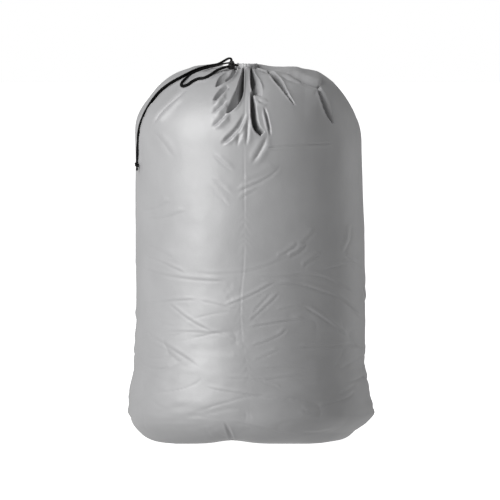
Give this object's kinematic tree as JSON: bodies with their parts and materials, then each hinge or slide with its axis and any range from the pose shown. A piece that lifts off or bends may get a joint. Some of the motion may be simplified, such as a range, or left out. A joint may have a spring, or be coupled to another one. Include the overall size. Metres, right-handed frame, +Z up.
{
  "type": "stuff sack",
  "caption": "Large nylon drawstring stuff sack, filled out and standing, with a gathered neck, cord lock and knotted cord tails.",
  "frame": {"origin": "centre of the footprint, on the surface that the sack stands on", "axes": "+Z up along the sack; -Y is the front, with the long seam and the cord lock; +X is to the right as seen from the front"},
  "size_m": [0.4916, 0.4424, 0.7688],
  "materials": {
    "sack_fabric": "satin",
    "seam_thread": "matte",
    "black_cord": "satin",
    "lock_plastic": "satin",
    "spring_steel": "satin"
  },
  "bodies": {
    "sack": {"sack_body": "sack_fabric", "drawcord_casing": "sack_fabric", "front_seam_allowance": "sack_fabric", "bottom_seam_allowance": "sack_fabric", "front_seam_thread": "seam_thread", "bottom_seam_thread": "seam_thread", "casing_thread": "seam_thread", "cord_exit_stitching": "seam_thread", "drawcord_neck_loop": "black_cord", "drawcord_tail_front": "black_cord", "drawcord_tail_rear": "black_cord", "tail_knot": "black_cord"},
    "cord_lock": {"lock_barrel": "lock_plastic", "lock_spring": "spring_steel"},
    "lock_button": {"lock_plunger": "lock_plastic"}
  },
  "joints": [
    {"name": "lock_slide", "type": "slide", "parent": "sack", "child": "cord_lock", "axis": [-0.851, -0.4856, -0.2002], "range_m": [0, 0.0085]},
    {"name": "plunger_press", "type": "slide", "parent": "cord_lock", "child": "lock_button", "axis": [-0.0945, 0.5166, -0.851], "range_m": [0, 0.002], "stiffness_N_per_m": 400, "springref_m": -0.004, "deforming": ["lock_spring"]}
  ]
}
